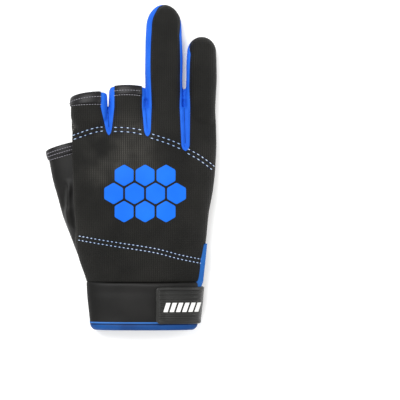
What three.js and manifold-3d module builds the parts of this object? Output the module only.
// A fishing glove for the right hand, lying palm down on a table: thumb, index and middle finger are cut
// short, ring and little finger are whole. Millimetres, +X to the little finger, +Y to the fingertips, +Z to
// the back. Shapes are laid out from the wrist mouth (y = 0), the palm's middle line (x = 0) and the table
// (z = 0).
import * as THREE from "three";
import { mergeVertices } from "three/addons/utils/BufferGeometryUtils.js";
import Module from "manifold-3d";

const wasm = await Module();
wasm.setup();

// Driving dimensions
const cuffLength = 28.5; // wrist mouth to cuff seam
const palmLength = 102.5; // cuff seam to the roots of the fingers
const palmWidth = 85.6; // across the knuckles
const palmHeight = 25; // empty glove at the middle of the palm
const wristWidth = 67.4;
const wristHeight = 17.5;
const fingerHeight = 15;
const indexLength = 8.6; // lengths of the fingers beyond their roots
const middleLength = 13.4;
const ringLength = 60.4;
const littleLength = 41.6;
const indexWidth = 21.3;
const middleWidth = 21.9;
const ringWidth = 22.4;
const littleWidth = 18.1;
const thumbLength = 62.8; // along its spine, from deep in the palm to the cut end
const thumbWidth = 19.6; // at the cut end
const thumbHeight = 11.6;
const thumbAngle = 25.7; // degrees between the spine and the fingers
const wall = 1.6; // cloth of the hand and fingers
const cuffWall = 2;
const seamGap = 0.3; // clearance between two sewn pieces
const hemLength = 5.6; // folded hems at the cut fingers
const hemRaise = 0.4; // how far a folded hem stands proud
const bindingLength = 5; // blue binding round the wrist mouth
const bindingRaise = 0.5;
const slitLength = 51.2; // from the wrist mouth up the little-finger side
const slitOpening = 0.9; // free width of the slit
const slitBindingWidth = 2.7; // seen from the side
const strapWidth = 21.8; // along the forearm
const strapReach = 26.6; // from the glove's side over the back
const strapThickness = 1.7;
const strapBorder = 2; // raised border round the ribbed field
const strapRelief = 0.4; // depth of that field
const strapFromMouth = 3.8;
const strapWrap = 3.4; // how far it turns down past the slit
const cornerRadius = 3;

// How round the sections are: 2 is an ellipse, more is squarer, 1 is a straight flank
const roundness = { back: 2.2, underside: 2.2, liftedFlank: 1.15 };
const sides = { palm: 36, finger: 20, thumb: 24, cuff: 32 };
const floorPress = 0.8; // depth by which the rounded underside is pressed flat on the table
const far = palmLength * 3; // reaches past the whole glove

// Palm sections. along: share of palmLength from the cuff seam. left, right: share of the way from the
// wrist's half width to the palm's. rise: share of the way from the wrist's height to the palm's. fall: then
// on to the fingers' height. thumbEdge, littleEdge: height of the two side seams as a share of the section's
// height. flat: where the underside leaves the table on the thumb side, as a share of the half width.
// flank: its shape.
const palmRows = [
  { along: 0.0, left: 0.0, right: 0.04, rise: 0.0, fall: 0.0,
    thumbEdge: 0.5, littleEdge: 0.5, flat: -0.7, flank: 0 },
  { along: 0.13, left: 0.42, right: 0.2, rise: 0.45, fall: 0.0,
    thumbEdge: 0.47, littleEdge: 0.47, flat: -0.55, flank: 0 },
  { along: 0.235, left: 0.66, right: 0.32, rise: 0.76, fall: 0.0,
    thumbEdge: 0.53, littleEdge: 0.44, flat: -0.3, flank: 0.3 },
  { along: 0.32, left: 0.71, right: 0.44, rise: 0.92, fall: 0.0,
    thumbEdge: 0.6, littleEdge: 0.41, flat: -0.12, flank: 0.6 },
  { along: 0.4, left: 0.76, right: 0.55, rise: 1.0, fall: 0.0,
    thumbEdge: 0.65, littleEdge: 0.39, flat: 0.0, flank: 0.8 },
  { along: 0.54, left: 0.85, right: 0.8, rise: 0.98, fall: 0.0,
    thumbEdge: 0.69, littleEdge: 0.38, flat: 0.02, flank: 1 },
  { along: 0.655, left: 0.91, right: 0.95, rise: 0.95, fall: 0.12,
    thumbEdge: 0.75, littleEdge: 0.39, flat: 0.02, flank: 1 },
  { along: 0.79, left: 0.98, right: 1.0, rise: 0.9, fall: 0.42,
    thumbEdge: 0.83, littleEdge: 0.42, flat: 0.1, flank: 1 },
  { along: 0.9, left: 0.96, right: 0.97, rise: 0.8, fall: 0.75,
    thumbEdge: 0.78, littleEdge: 0.47, flat: 0.2, flank: 1 },
  { along: 0.97, left: 0.8, right: 0.85, rise: 0.6, fall: 1.0,
    thumbEdge: 0.7, littleEdge: 0.5, flat: 0.25, flank: 1 },
];

// Cuff sections, from the wrist mouth to the cuff seam: shares of wristWidth and wristHeight
const cuffRows = [
  { along: 0.0, width: 0.925, height: 0.97 },
  { along: 0.3, width: 0.95, height: 0.98 },
  { along: 0.7, width: 0.985, height: 1.0 },
  { along: 1.0, width: 1.0, height: 1.0 },
];

// The fingers. centre: share of palmWidth from the middle line. lift, rootLift: how high the underside lies
// at the end and at the root, as shares of fingerHeight.
const fingers = {
  index: { centre: -0.375, width: indexWidth, length: indexLength, cut: true,
    slant: 0.13, lift: 0.36, rootLift: 0.5 },
  middle: { centre: -0.112, width: middleWidth, length: middleLength, cut: true,
    slant: 0, lift: 0.12, rootLift: 0.26 },
  ring: { centre: 0.14, width: ringWidth, length: ringLength, cut: false, slant: 0, lift: 0, rootLift: 0.04 },
  little: { centre: 0.4, width: littleWidth, length: littleLength, cut: false,
    slant: 0, lift: 0, rootLift: 0 },
};

// Sections along a whole finger (along: share of its length) before the round tip, and of a short one
const wholeFingerRows = [
  { along: 0.0, width: 0.93 },
  { along: 0.2, width: 0.93 },
  { along: 0.43, width: 1.0 },
  { along: 0.6, width: 0.97 },
  { along: 0.77, width: 0.92 },
];
const cutFingerRows = [
  { along: 0.0, width: 1.0 },
  { along: 1.0, width: 0.985 },
];
const rootDepth = 0.16; // share of palmLength that a finger's tube reaches back into the palm
const rootShare = 0.66; // width of that hidden root, as a share of the finger's
const tipAngles = [25, 45, 62, 77]; // degrees round the dome of a whole fingertip
const endTilt = 0.16; // a cut end's top reaches further than its underside, by this share of the height

// The gussets. left, right: widths of their strips on the two fingers, as shares of fingerHeight. leftReach,
// rightReach: how far the strips run, as shares of the finger's length. vee: depth of the V below the
// fingers' roots, and veeSpread: the height over which it opens, as shares of palmLength.
const gussets = [
  { name: "fourchette_index_middle", a: "index", b: "middle", left: 0.24, right: 0.24,
    leftReach: 2, rightReach: 2, vee: 0.155, veeSpread: 0.13 },
  { name: "fourchette_middle_ring", a: "middle", b: "ring", left: 0.19, right: 0.27,
    leftReach: 2, rightReach: 0.995, vee: 0.155, veeSpread: 0.1 },
  { name: "fourchette_ring_little", a: "ring", b: "little", left: 0.17, right: 0.13,
    leftReach: 0.86, rightReach: 0.93, vee: 0.242, veeSpread: 0.09 },
];

// Thumb sections. along: share of thumbLength. width, height: shares of thumbWidth and thumbHeight.
const thumbRows = [
  { along: -0.12, width: 1.2, height: 0.9 },
  { along: 0.0, width: 1.72, height: 1.2 },
  { along: 0.385, width: 1.65, height: 1.25 },
  { along: 0.69, width: 1.39, height: 1.08 },
  { along: 0.88, width: 1.12, height: 1.02 },
  { along: 1.0, width: 1.0, height: 1.0 },
];
// Root of the thumb's spine, as shares of palmWidth from the middle line and of palmLength from the cuff seam
const thumbRoot = { across: -0.2407, along: 0.2263 };

// The seam that sets the thumb into the palm, on the underside: across and along as in thumbRoot
const thumbSeamRows = [
  { across: -0.22, along: 0.18 },
  { across: -0.13, along: 0.2 },
  { across: -0.054, along: 0.244 },
  { across: -0.016, along: 0.305 },
  { across: 0.0, along: 0.392 },
  { across: -0.019, along: 0.483 },
  { across: -0.067, along: 0.577 },
  { across: -0.135, along: 0.673 },
  { across: -0.203, along: 0.792 },
  { across: -0.225, along: 0.684 },
  { across: -0.25, along: 0.577 },
];
// The free thumb above the seam: how high its zone reaches at the seam and under the palm's edge (palmHeight)
const webCeiling = { inner: 0.2, outer: 0.58 };
const thumbPanelSplit = { underside: -0.05, top: 0.42 }; // shares of thumbWidth from the spine, across

// Derived places
const seamY = cuffLength;
const rootY = seamY + palmLength;
const bottomZ = -floorPress;
const mix = (a, b, t) => a + (b - a) * t;
const degrees = (angle) => (angle * Math.PI) / 180;

// Value of a column at a share along a table, between its rows
function sample(rows, column, along) {
  const last = rows[rows.length - 1];
  if (along <= rows[0].along) return rows[0][column];
  if (along >= last.along) return last[column];
  const next = rows.findIndex((row) => row.along >= along);
  const [low, high] = [rows[next - 1], rows[next]];
  return mix(low[column], high[column], (along - low.along) / (high.along - low.along));
}

function toManifold(geometry) {
  geometry.deleteAttribute("normal");
  geometry.deleteAttribute("uv");
  const merged = mergeVertices(geometry, 1e-4);
  const vertProperties = new Float32Array(merged.attributes.position.array);
  const triVerts = new Uint32Array(merged.index.array);
  return new wasm.Manifold(new wasm.Mesh({ numProp: 3, vertProperties, triVerts }));
}

function toGeometry(solid) {
  const mesh = solid.getMesh();
  const geometry = new THREE.BufferGeometry();
  geometry.setAttribute("position", new THREE.BufferAttribute(new Float32Array(mesh.vertProperties), 3));
  geometry.setIndex(new THREE.BufferAttribute(new Uint32Array(mesh.triVerts), 1));
  geometry.computeVertexNormals();
  return geometry;
}

// Closed skin through rings of equally many points, in order, with a fan of triangles on each end
function loft(rings) {
  const count = rings[0].length;
  const middle = (ring) => ring.reduce((sum, p) => sum.add(p), new THREE.Vector3()).divideScalar(count);
  const points = [...rings.flat(), middle(rings[0]), middle(rings[rings.length - 1])];
  const firstPole = points.length - 2;
  const index = [];
  const lastRing = (rings.length - 1) * count;
  for (let side = 0; side < count; side += 1) {
    const next = (side + 1) % count;
    for (let ring = 0; ring < rings.length - 1; ring += 1) {
      const [low, high] = [ring * count, (ring + 1) * count];
      index.push(low + side, high + next, low + next, low + side, high + side, high + next);
    }
    index.push(firstPole, side, next, firstPole + 1, lastRing + next, lastRing + side);
  }
  const geometry = new THREE.BufferGeometry();
  geometry.setAttribute("position", new THREE.Float32BufferAttribute(points.flatMap((p) => p.toArray()), 3));
  geometry.setIndex(index);
  const solid = toManifold(geometry);
  return solid.volume() < 0 ? toManifold(turned(geometry)) : solid;
}

// The same skin with its triangles facing the other way
function turned(geometry) {
  const flipped = geometry.clone();
  flipped.setIndex([...geometry.index.array].reverse());
  return flipped;
}

const power = (value, exponent) => Math.sign(value) * Math.abs(value) ** exponent;

// Rounded section as [across, height] pairs: two side seams, a crowned top, and an underside that may be flat
// between flatLeft and flatRight. A positive grow makes it larger all round, a negative one smaller.
function sectionPoints(s, count, grow) {
  const [left, right] = [s.left - grow, s.right + grow];
  const [top, bottom] = [s.top + grow, s.bottom - grow];
  const middle = (s.left + s.right) / 2;
  const under = roundness.underside;
  const quarters = [
    { x: middle, z: s.rightEdge, dx: right - middle, dz: top - s.rightEdge, n: roundness.back },
    { x: middle, z: s.leftEdge, dx: middle - left, dz: top - s.leftEdge, n: roundness.back },
    { x: s.flatLeft, z: s.leftEdge, dx: s.flatLeft - left, dz: s.leftEdge - bottom, n: s.flank },
    { x: s.flatRight, z: s.rightEdge, dx: right - s.flatRight, dz: s.rightEdge - bottom, n: under },
  ];
  return Array.from({ length: count }, (_, i) => {
    const turn = (i * 4) / count;
    const q = quarters[Math.floor(turn)];
    const angle = (turn * Math.PI) / 2;
    const x = q.x + q.dx * power(Math.cos(angle), 2 / q.n);
    return [x, q.z + q.dz * power(Math.sin(angle), 2 / q.n)];
  });
}

// Plan outline extruded from one height to another
function prism(outline, low, high) {
  const shape = new THREE.Shape(outline.map(([x, y]) => new THREE.Vector2(x, y)));
  const geometry = new THREE.ExtrudeGeometry(shape, { depth: high - low, bevelEnabled: false });
  geometry.translate(0, 0, low);
  return toManifold(geometry);
}

// Everything between two heights
function slab(low, high) {
  return prism([[-far, -far], [far, -far], [far, far], [-far, far]], low, high);
}

// Outline moved outwards by a distance, corner by corner; its points run counter-clockwise
function outset(outline, distance) {
  const corner = (i) => new THREE.Vector2(...outline[(i + outline.length) % outline.length]);
  return outline.map((point, i) => {
    const here = corner(i);
    const before = here.clone().sub(corner(i - 1)).normalize();
    const after = corner(i + 1).sub(here).normalize();
    const out = new THREE.Vector2(before.y + after.y, -before.x - after.x).normalize();
    return [here.x + out.x * distance, here.y + out.y * distance];
  });
}

// Section of the palm at a share of its length
function palmSection(along) {
  const at = (column) => sample(palmRows, column, along);
  const spread = (palmWidth - wristWidth) / 2;
  const top = mix(mix(wristHeight, palmHeight, at("rise")), fingerHeight, at("fall"));
  const half = wristWidth / 2 + spread * at("left");
  const rightHalf = wristWidth / 2 + spread * at("right");
  return {
    left: -half,
    right: rightHalf,
    top,
    bottom: bottomZ,
    leftEdge: top * at("thumbEdge"),
    rightEdge: top * at("littleEdge"),
    flatLeft: half * at("flat"),
    flatRight: rightHalf * 0.7,
    flank: mix(roundness.underside, roundness.liftedFlank, at("flank")),
  };
}

const cuffCentre = 0.004 * wristWidth; // the cuff sits a little to the little-finger side

function cuffSection(along) {
  const half = (wristWidth * sample(cuffRows, "width", along)) / 2;
  const top = wristHeight * sample(cuffRows, "height", along);
  return {
    left: cuffCentre - half,
    right: cuffCentre + half,
    top,
    bottom: bottomZ,
    leftEdge: top / 2,
    rightEdge: top / 2,
    flatLeft: cuffCentre - half * 0.7,
    flatRight: cuffCentre + half * 0.7,
    flank: roundness.underside,
  };
}

const ringAtY = (y) => ([x, z]) => new THREE.Vector3(x, y, z);

function palmBody(grow) {
  const rings = palmRows.map(({ along }, i) => {
    const y = seamY + (i === 0 ? seamGap / 2 - (grow < 0 ? 1 : 0) : along * palmLength);
    return sectionPoints(palmSection(along), sides.palm, grow).map(ringAtY(y));
  });
  const last = palmSection(1);
  const shrink = fingerHeight * 0.16; // the palm's far edge closes round between the fingers
  const rootRing = sectionPoints(last, sides.palm, grow - shrink).map(ringAtY(rootY + (grow < 0 ? grow : 0)));
  return loft([...rings, rootRing]);
}

// Half width of a finger at a distance beyond its root
function halfWidth(finger, beyond) {
  const along = beyond / finger.length;
  if (finger.cut) return (finger.width / 2) * sample(cutFingerRows, "width", along);
  const last = wholeFingerRows[wholeFingerRows.length - 1];
  const tip = Math.max(0, Math.min(1, (along - last.along) / (1 - last.along)));
  const taper = along > last.along ? Math.sqrt(1 - tip * tip) : 1;
  return (finger.width / 2) * sample(wholeFingerRows, "width", along) * taper;
}

function fingerSection(finger, beyond, share, grow) {
  const x = finger.centre * palmWidth;
  const half = halfWidth(finger, Math.min(beyond, finger.length)) * share;
  const reached = Math.max(0, Math.min(1, beyond / finger.length));
  const lift = fingerHeight * mix(finger.rootLift, finger.lift, reached);
  const round = half / (finger.width / 2);
  const dome = Math.min(1, round * 1.06);
  const depth = (fingerHeight + floorPress) * dome;
  const middle = lift + bottomZ + (fingerHeight + floorPress) * mix(0.5, 0.4, 1 - dome);
  const level = Math.max(middle, lift + bottomZ + depth / 2);
  const s = { left: x - half, right: x + half, top: middle + depth / 2, bottom: middle - depth / 2 };
  const edge = finger.cut ? level : middle;
  const rest = { leftEdge: edge, rightEdge: edge, flatLeft: x, flatRight: x, flank: roundness.underside };
  return sectionPoints({ ...s, ...rest }, sides.finger, grow).map(([px, pz]) => {
    const slanted = finger.slant * (px - x) + endTilt * (pz - edge);
    return new THREE.Vector3(px, rootY + beyond + (finger.cut && beyond > 0 ? slanted : 0), pz);
  });
}

function fingerBody(finger, grow) {
  const rings = [fingerSection(finger, -rootDepth * palmLength, rootShare, grow)];
  if (finger.cut) {
    const open = grow < 0 ? 2 * wall : 0; // the hollow runs out through the cut end
    const hemStart = finger.length - hemLength;
    const lip = grow < 0 ? grow : grow + hemRaise;
    rings.push(fingerSection(finger, Math.min(0, hemStart - 1), 1, grow));
    rings.push(fingerSection(finger, hemStart, 1, grow));
    rings.push(fingerSection(finger, hemStart + hemRaise, 1, lip));
    rings.push(fingerSection(finger, finger.length + open, 1, lip));
    return loft(rings);
  }
  wholeFingerRows.forEach(({ along }) => rings.push(fingerSection(finger, along * finger.length, 1, grow)));
  const tipStart = wholeFingerRows[wholeFingerRows.length - 1].along * finger.length;
  const tipLength = finger.length - tipStart + Math.min(grow, 0);
  tipAngles.forEach((angle) => {
    const beyond = tipStart + tipLength * Math.sin(degrees(angle));
    const flat = tipStart + (finger.length - tipStart) * Math.sin(degrees(angle));
    const ring = fingerSection(finger, flat, 1, grow);
    ring.forEach((point) => point.setY(rootY + beyond));
    rings.push(ring);
  });
  return loft(rings);
}

// The thumb's own frame: spine direction and the direction across it, toward the index finger
const thumbSpine = new THREE.Vector3(-Math.sin(degrees(thumbAngle)), Math.cos(degrees(thumbAngle)), 0);
const thumbAcross = new THREE.Vector3(Math.cos(degrees(thumbAngle)), Math.sin(degrees(thumbAngle)), 0);
const thumbStart = new THREE.Vector3(thumbRoot.across * palmWidth, seamY + thumbRoot.along * palmLength, 0);

function thumbPoint(distance, across, z) {
  const place = thumbStart.clone().addScaledVector(thumbSpine, distance);
  return place.addScaledVector(thumbAcross, across).setZ(z);
}

function thumbRing(distance, grow) {
  const along = distance / thumbLength;
  const half = (thumbWidth / 2) * sample(thumbRows, "width", along);
  const top = thumbHeight * sample(thumbRows, "height", along);
  const edge = top * 0.47;
  const s = { left: -half, right: half, top, bottom: bottomZ, leftEdge: edge, rightEdge: edge };
  const rest = { flatLeft: -half * 0.1, flatRight: half * 0.1, flank: roundness.underside };
  const tilt = along >= 1 ? endTilt : 0;
  return sectionPoints({ ...s, ...rest }, sides.thumb, grow).map(([across, z]) =>
    thumbPoint(distance + tilt * (z - edge), across, z),
  );
}

function thumbBody(grow) {
  const hemStart = thumbLength - hemLength;
  const lip = grow < 0 ? grow : grow + hemRaise;
  const open = grow < 0 ? 2 * wall : 0;
  const rings = thumbRows.slice(0, -1).filter(({ along }) => along * thumbLength < hemStart)
    .map(({ along }) => thumbRing(along * thumbLength, grow));
  rings.push(thumbRing(hemStart, grow), thumbRing(hemStart + hemRaise, lip));
  rings.push(thumbRing(thumbLength + open, lip));
  return loft(rings);
}

// Bar along y whose rectangle follows the glove's side: rows of { y, left, right, low, high }
function bar(rows) {
  return loft(rows.map(({ y, left, right, low, high }) =>
    [[left, low], [right, low], [right, high], [left, high]].map(ringAtY(y)),
  ));
}

// Section of the whole hand and cuff at any y, for the pieces along the sides
function handSection(y) {
  return y < seamY ? cuffSection(y / cuffLength) : palmSection((y - seamY) / palmLength);
}

// Everything above the side seams, over the whole glove: the palm's own seams, then the fingers' middles
function aboveSideSeams(shift) {
  const inPalm = palmRows.filter(({ along }) => along < 1 - rootDepth);
  const rows = inPalm.map(({ along }) => ({ y: seamY + along * palmLength, ...palmSection(along) }));
  const { left: thumbSide, right: littleSide } = rows[rows.length - 1];
  const fingerMiddle = (fingerHeight + bottomZ) / 2;
  const beyond = (y, lift) => {
    const leftEdge = fingerMiddle + fingerHeight * lift;
    return { y, left: thumbSide, right: littleSide, leftEdge, rightEdge: fingerMiddle };
  };
  rows[0].y = seamY - cuffLength / 2;
  rows.push(beyond(rootY, fingers.index.rootLift));
  rows.push(beyond(rootY + indexLength * 1.3, fingers.index.lift));
  rows.push(beyond(rootY + indexLength * 3, 0));
  rows.push(beyond(rootY + Math.max(ringLength, littleLength) + palmHeight, 0));
  return loft(rows.map(({ y, left, right, leftEdge, rightEdge }) => [
    [-far, leftEdge + shift],
    [left, leftEdge + shift],
    [right, rightEdge + shift],
    [far, rightEdge + shift],
    [far, far],
    [-far, far],
  ].map(ringAtY(y))));
}

// One finger's side strip of a gusset, from the fingers' roots to its reach, as a prism
function gussetStrip(finger, side, strip, reach, extra) {
  const steps = 14;
  const longest = finger.cut ? finger.length + 2 * hemLength : finger.length * reach;
  const inner = [];
  for (let i = 0; i <= steps; i += 1) {
    const beyond = (longest * i) / steps;
    const half = finger.cut ? finger.width / 2 : halfWidth(finger, beyond);
    const fade = finger.cut ? 1 : Math.min(1, (1 - i / steps) * 5 + (reach > 0.95 ? 0.6 : 0));
    inner.push([finger.centre * palmWidth + side * (half - strip * fade - extra), rootY + beyond]);
  }
  const outerX = finger.centre * palmWidth + side * (finger.width / 2 + 1.5 * hemRaise);
  const top = rootY + longest + extra;
  const outline = [...inner, [outerX, top], [outerX, rootY - 1]];
  outline.push([inner[0][0], rootY - 1]);
  return prism(side > 0 ? outline.reverse() : outline, -palmHeight, 2 * palmHeight);
}

function gussetZone(gusset, extra) {
  const [a, b] = [fingers[gusset.a], fingers[gusset.b]];
  const [left, right] = [gusset.left * fingerHeight, gusset.right * fingerHeight];
  const strips = gussetStrip(a, 1, left, gusset.leftReach, extra)
    .add(gussetStrip(b, -1, right, gusset.rightReach, extra));
  const x0 = a.centre * palmWidth + halfWidth(a, 0) - left;
  const x1 = b.centre * palmWidth - halfWidth(b, 0) + right;
  const low = rootY - gusset.vee * palmLength;
  const spread = Math.min(gusset.veeSpread, gusset.vee) * palmLength;
  const middle = (x0 + x1) / 2;
  const shapeSteps = [0.06, 0.3, 0.65, 1];
  const flank = shapeSteps.map((t) => ({ t: t ** 0.75, y: low + spread * t }));
  const outline = [
    [middle, low],
    ...flank.map(({ t, y }) => [mix(middle, x1, t), y]),
    [x1, rootY + 0.5],
    [x0, rootY + 0.5],
    ...flank.reverse().map(({ t, y }) => [mix(middle, x0, t), y]),
  ];
  return strips.add(prism(outset(outline, extra), -palmHeight, 2 * palmHeight));
}

// The part of the wall that belongs to the thumb: inside the stitched seam and below the side seam of the
// palm, and past the seam's end only what lies below the palm's lifted underside
function thumbZone(extra) {
  const seam = thumbSeamRows.map(({ across, along }) => [across * palmWidth, seamY + along * palmLength]);
  const [first, keyhole] = [seam[0], seam[seam.length - 1]];
  const outline = outset([[-far, keyhole[1]], [-far, first[1]], ...seam], extra);
  const sewnIn = prism(outline, -palmHeight, 2 * palmHeight).subtract(aboveSideSeams(extra - seamGap / 2));
  const ceiling = [
    [-far, -palmHeight],
    [keyhole[0] + extra, -palmHeight],
    [keyhole[0] + extra, palmHeight * webCeiling.inner + extra],
    [-palmWidth / 2, palmHeight * webCeiling.outer + extra],
    [-far, palmHeight * webCeiling.outer + extra],
  ];
  const ends = [keyhole[1] - seamGap, rootY - rootDepth * palmLength - seamGap];
  return sewnIn.add(loft(ends.map((y) => ceiling.map(ringAtY(y)))));
}

// The smooth outer side of the thumb: everything outward of a slanted sheet along the spine
function thumbOuterSide(shift) {
  const low = thumbPanelSplit.underside * thumbWidth + shift;
  const high = thumbPanelSplit.top * thumbWidth + shift;
  const sheet = [[low, -palmHeight], [low, wall], [high, thumbHeight], [high, far]];
  const section = [[-far, -palmHeight], ...sheet, [-far, far]];
  return loft([-far, 2 * thumbLength].map((d) => section.map(([across, z]) => thumbPoint(d, across, z))));
}

// The slit on the little-finger side: a strip of the wall between two heights from the side seam, up to a y
function slitBar(top, low, high) {
  const palmStation = cuffLength + palmLength * 0.13;
  const stations = [-bindingLength, cuffLength * 0.3, cuffLength * 0.7, cuffLength, palmStation, top];
  return bar(stations.filter((y) => y <= top).map((y) => {
    const s = handSection(Math.max(0, y));
    const [left, right] = [s.right - 3 * wall, s.right + 3 * wall];
    return { y, left, right, low: s.rightEdge + low, high: s.rightEdge + high };
  }));
}

const slitLow = -slitOpening;
const slitHigh = slitBindingWidth;

// Outer skin and hollow of the hand, then the wall between them
function handBody(grow) {
  const allFingers = Object.values(fingers);
  const body = allFingers.reduce((sum, finger) => sum.add(fingerBody(finger, grow)), palmBody(grow));
  return body.add(thumbBody(grow)).subtract(slab(-far, grow < 0 ? wall : 0));
}
const handWall = handBody(0).subtract(handBody(-wall));

function sewnPieces() {
  const slit = slitBar(slitLength, slitLow, slitHigh);
  const thumb = handWall.intersect(thumbZone(0));
  const gussetCuts = gussets.reduce((rest, gusset) => rest.subtract(gussetZone(gusset, seamGap)), handWall);
  const blackCloth = gussetCuts.subtract(thumbZone(seamGap)).subtract(slit);
  const pieces = {
    back_panel: blackCloth.intersect(aboveSideSeams(seamGap / 2)),
    palm_panel: blackCloth.subtract(aboveSideSeams(-seamGap / 2)),
    thumb_back_panel: thumb.intersect(thumbOuterSide(-seamGap / 2)),
    thumb_palm_panel: thumb.subtract(thumbOuterSide(seamGap / 2)),
  };
  gussets.forEach((gusset) => {
    pieces[gusset.name] = handWall.intersect(gussetZone(gusset, 0));
  });
  return pieces;
}

// The cuff as a tube between two ys, grown all round; the hollow one runs past both ends
function cuffTube(from, to, grow, round) {
  const ys = [from, ...cuffRows.map(({ along }) => along * cuffLength).filter((y) => y > from && y < to), to];
  return loft(ys.map((y) => {
    const near = Math.max(0, 1 - Math.max(0, y) / bindingLength);
    const corner = round ? bindingLength * 0.35 * near ** 2.5 : 0;
    const s = cuffSection(Math.max(0, y) / cuffLength);
    const ring = { ...s, left: s.left + corner, right: s.right - corner };
    return sectionPoints(ring, sides.cuff, grow).map(ringAtY(y));
  }));
}

function cuffPieces() {
  const top = cuffLength - seamGap / 2;
  const floor = slab(-far, 0);
  const hollow = cuffTube(-1, cuffLength + 1, -cuffWall, false).subtract(slab(-far, wall));
  const slit = slitBar(slitLength, slitLow, slitHigh);
  const skin = cuffTube(bindingLength + seamGap, top, 0, false);
  const band = skin.subtract(floor).subtract(hollow).subtract(slit);

  const steps = [0, 0.06, 0.2, 0.45, 1].map((share) => share * bindingLength);
  const lip = (y) => bindingRaise - 1.1 * (1 - Math.min(1, y / (0.45 * bindingLength))) ** 2;
  const corner = (y) => bindingLength * 0.35 * Math.max(0, 1 - y / bindingLength) ** 2.5;
  const outerRings = steps.map((y) => {
    const s = cuffSection(y / cuffLength);
    const ring = { ...s, left: s.left + corner(y), right: s.right - corner(y) };
    return sectionPoints(ring, sides.cuff, lip(y)).map(ringAtY(y));
  });
  const mouth = cuffTube(-1, bindingLength + 1, -cuffWall - bindingRaise, true);
  const slitMouth = slitBar(slitLength, slitLow, 0);
  const binding = loft(outerRings).subtract(floor).subtract(mouth).subtract(slitMouth);

  return { cuff_band: band, cuff_binding: binding };
}

// Folded strip round the slit's upper edge, from the wrist binding to the slit's end
function slitBinding() {
  const top = slitLength - seamGap;
  const ys = [bindingLength + seamGap, cuffLength * 0.4, cuffLength * 0.8, cuffLength * 1.1];
  ys.push(cuffLength + palmLength * 0.13, top - slitBindingWidth / 2, top);
  return loft(ys.map((y, i) => {
    const s = handSection(y);
    const end = i === ys.length - 1 ? 0.55 : 1;
    const half = ((slitBindingWidth - seamGap) / 2) * end;
    const centre = [s.right - wall * 0.8, s.rightEdge + half + (1 - end) * half];
    const ring = Array.from({ length: 12 }, (_, k) => (k / 12) * 2 * Math.PI);
    return ring.map((t) => new THREE.Vector3(
      centre[0] + (wall * 0.5 + bindingRaise) * power(Math.cos(t), 0.7),
      y,
      centre[1] + half * power(Math.sin(t), 0.7),
    ));
  }));
}

// Plan outline of the strap's tab, with its free corners rounded, inset from its edge
function strapOutline(inset) {
  const right = wristWidth;
  const left = wristWidth / 2 - strapReach + inset;
  const [low, high] = [strapFromMouth + inset, strapFromMouth + strapWidth - inset];
  const radius = Math.max(0.5, cornerRadius - inset);
  const arc = (cx, cy, from) => [0, 30, 60, 90].map((a) => {
    const t = degrees(from + a);
    return [cx + radius * Math.cos(t), cy + radius * Math.sin(t)];
  });
  const corners = [...arc(left + radius, high - radius, 90), ...arc(left + radius, low + radius, 180)];
  return [[right, low], [right, high], ...corners];
}

function strapPiece() {
  const [from, to] = [strapFromMouth - 1, strapFromMouth + strapWidth + 1];
  const clear = bindingRaise + seamGap;
  const turnDown = handSection(cuffLength / 2).rightEdge - strapWrap;
  const cloth = cuffTube(from - 1, to + 1, clear, false);
  const body = cuffTube(from, to, clear + strapThickness, false).subtract(cloth);
  const field = slab(turnDown + strapBorder, far).intersect(prism(strapOutline(strapBorder), -far, far))
    .subtract(cuffTube(from - 1, to + 1, clear + strapThickness - strapRelief, false));
  return body.intersect(prism(strapOutline(0), turnDown, far)).subtract(field);
}

const cloth = (color, roughness = 0.85) => new THREE.MeshStandardMaterial({ color, roughness, metalness: 0 });
const materials = {
  knit: cloth("#2c2b29", 0.9),
  palmLeather: cloth("#3a3835", 0.7),
  gussetBlue: cloth("#3b7dff", 0.8),
  bindingBlue: cloth("#1e62c8", 0.7),
  smoothBlack: cloth("#2d2826", 0.75),
  strapGrey: cloth("#484846", 0.6),
};
const materialOf = {
  back_panel: materials.knit,
  palm_panel: materials.palmLeather,
  thumb_back_panel: materials.smoothBlack,
  thumb_palm_panel: materials.palmLeather,
  cuff_band: materials.smoothBlack,
  cuff_binding: materials.bindingBlue,
  slit_binding: materials.bindingBlue,
  wrist_strap: materials.strapGrey,
};

const glove = new THREE.Group();
const solids = { ...sewnPieces(), ...cuffPieces(), slit_binding: slitBinding(), wrist_strap: strapPiece() };
Object.entries(solids).forEach(([name, solid]) => {
  const mesh = new THREE.Mesh(toGeometry(solid), materialOf[name] ?? materials.gussetBlue);
  mesh.name = name;
  glove.add(mesh);
});

// The origin is the middle of the glove's footprint
const middle = new THREE.Box3().setFromObject(glove).getCenter(new THREE.Vector3());
glove.position.set(-middle.x, -middle.y, 0);

export default glove;
